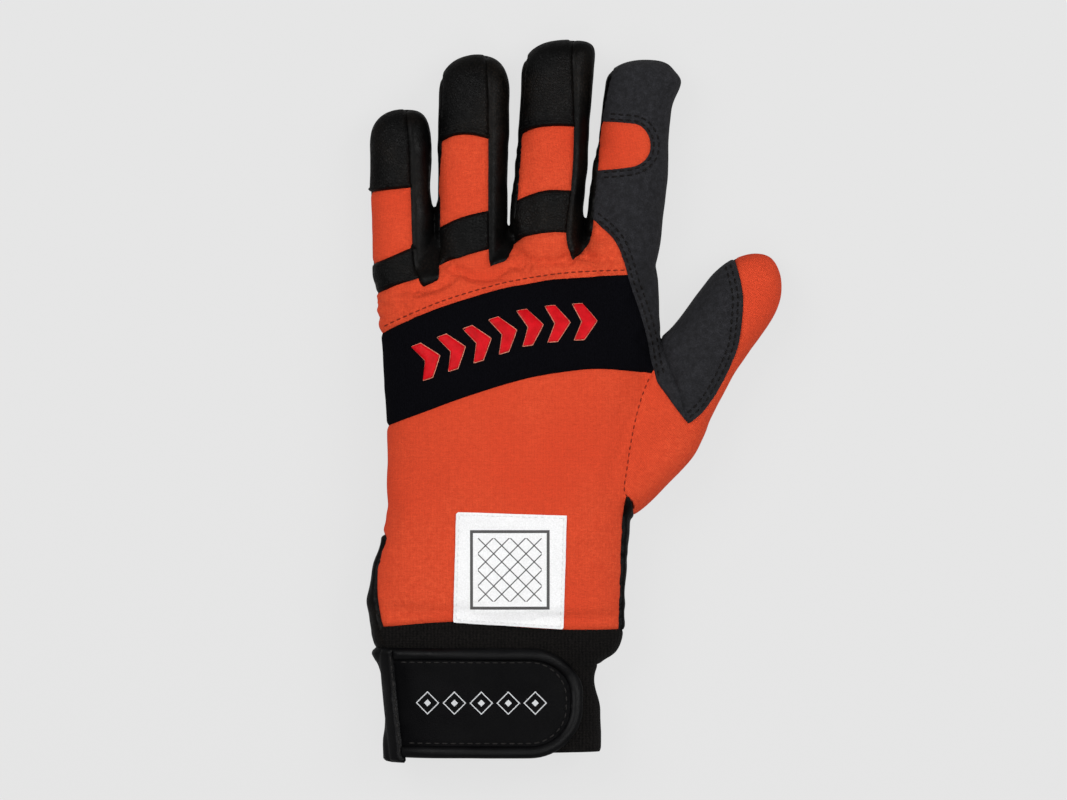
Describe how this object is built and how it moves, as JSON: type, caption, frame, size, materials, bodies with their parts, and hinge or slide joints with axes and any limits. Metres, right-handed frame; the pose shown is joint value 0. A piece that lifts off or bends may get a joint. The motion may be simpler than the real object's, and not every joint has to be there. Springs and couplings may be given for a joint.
{
  "type": "chainsaw work glove",
  "caption": "Left-hand chainsaw work glove: padded stretch-cloth back with a knuckle band, leather palm and fingertips, knitted cuff and a wrist strap.",
  "frame": {"origin": "on the surface that the glove lies on, under the middle of its bounding box", "axes": "+Y from the cuff to the fingertips, +X towards the thumb, +Z out of the back of the hand"},
  "size_m": [0.1536, 0.2694, 0.0384],
  "materials": {
    "orange_cloth": "fine stretch cloth, matt",
    "black_leather": "smooth leather, semi-gloss",
    "grey_suede": "matt synthetic suede",
    "neoprene": "dull laminated foam",
    "knit": "knitted, matt",
    "strap_rubber": "moulded rubber, satin",
    "label_cloth": "woven label, matt",
    "red_print": "raised print, satin"
  },
  "bodies": {
    "root": {"back_panel": "orange_cloth", "chevron_1": "red_print", "chevron_2": "red_print", "chevron_3": "red_print", "chevron_4": "red_print", "chevron_5": "red_print", "chevron_6": "red_print", "chevron_7": "red_print", "cuff": "knit", "fourchette_little_ring": "black_leather", "fourchette_middle_index": "black_leather", "fourchette_ring_middle": "black_leather", "gusset_left": "black_leather", "gusset_right": "black_leather", "index_front": "black_leather", "index_inset": "orange_cloth", "index_wrap": "grey_suede", "knuckle_band": "neoprene", "knuckle_panel": "orange_cloth", "label": "label_cloth", "little_back": "orange_cloth", "little_cap": "black_leather", "little_front": "black_leather", "little_strip": "black_leather", "middle_back": "orange_cloth", "middle_cap": "black_leather", "middle_front": "black_leather", "middle_strip": "black_leather", "palm": "black_leather", "ring_back": "orange_cloth", "ring_cap": "black_leather", "ring_front": "black_leather", "ring_strip": "black_leather", "strap": "strap_rubber", "strap_binding": "strap_rubber", "strap_edge": "strap_rubber", "thumb_back": "orange_cloth", "thumb_front": "black_leather", "thumb_patch": "grey_suede", "wrist_band": "knit"}
  },
  "joints": []
}
